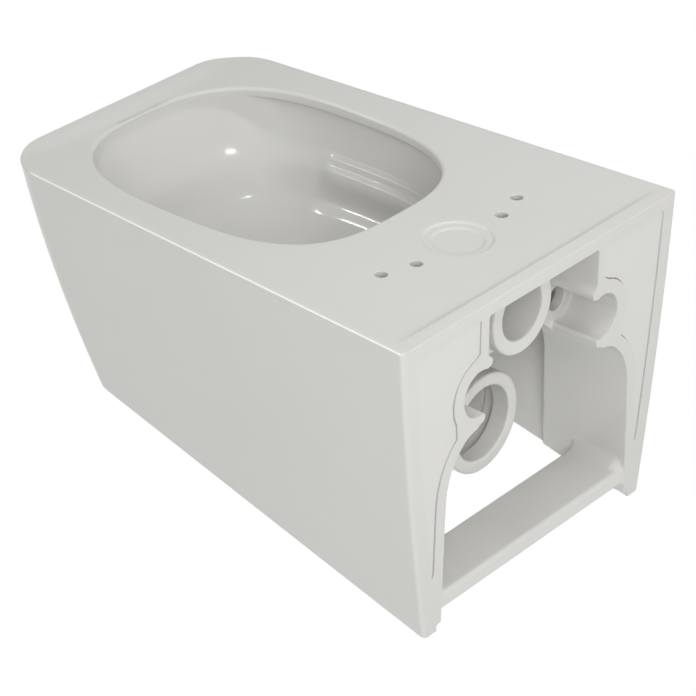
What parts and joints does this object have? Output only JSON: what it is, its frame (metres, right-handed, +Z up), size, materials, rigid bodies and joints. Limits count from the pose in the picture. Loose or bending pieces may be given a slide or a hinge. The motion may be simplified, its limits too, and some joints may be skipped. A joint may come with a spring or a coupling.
{
  "type": "wall hung toilet",
  "caption": "Bare wall hung ceramic toilet pan with rounded rectangular deck, ledged bowl, hidden-fixing stud channels, flush inlet, trap and horizontal waste outlet.",
  "frame": {"origin": "on the wall plane, midway between the two wall studs, at stud height", "axes": "+Z up, +Y out of the pan's rear face into the wall, +X to the pan's left as seen by someone facing the wall side; the front of the bowl points to -Y"},
  "size_m": [0.399, 0.53, 0.3135],
  "materials": {
    "glazed_deck": "satin gloss glaze, light warm grey",
    "glazed_skirt": "satin gloss glaze, light warm grey",
    "glazed_bowl": "gloss glaze, light warm grey",
    "glazed_wall_side": "thin glaze over the casting, light warm grey",
    "glazed_waterway": "glaze poured through the waterways"
  },
  "bodies": {
    "root": {"deck": "glazed_deck", "outer_skirt": "glazed_skirt", "bowl": "glazed_bowl", "left_pillar": "glazed_wall_side", "right_pillar": "glazed_wall_side", "stud_bulkhead": "glazed_wall_side", "rear_sill": "glazed_wall_side", "flush_inlet_horn": "glazed_wall_side", "flush_distributor": "glazed_waterway", "trap_bend_entry": "glazed_waterway", "trap_bend_dip": "glazed_waterway", "trap_riser": "glazed_waterway", "trap_crown": "glazed_waterway", "trap_drop_leg": "glazed_waterway", "outlet_spigot": "glazed_wall_side"}
  },
  "joints": []
}
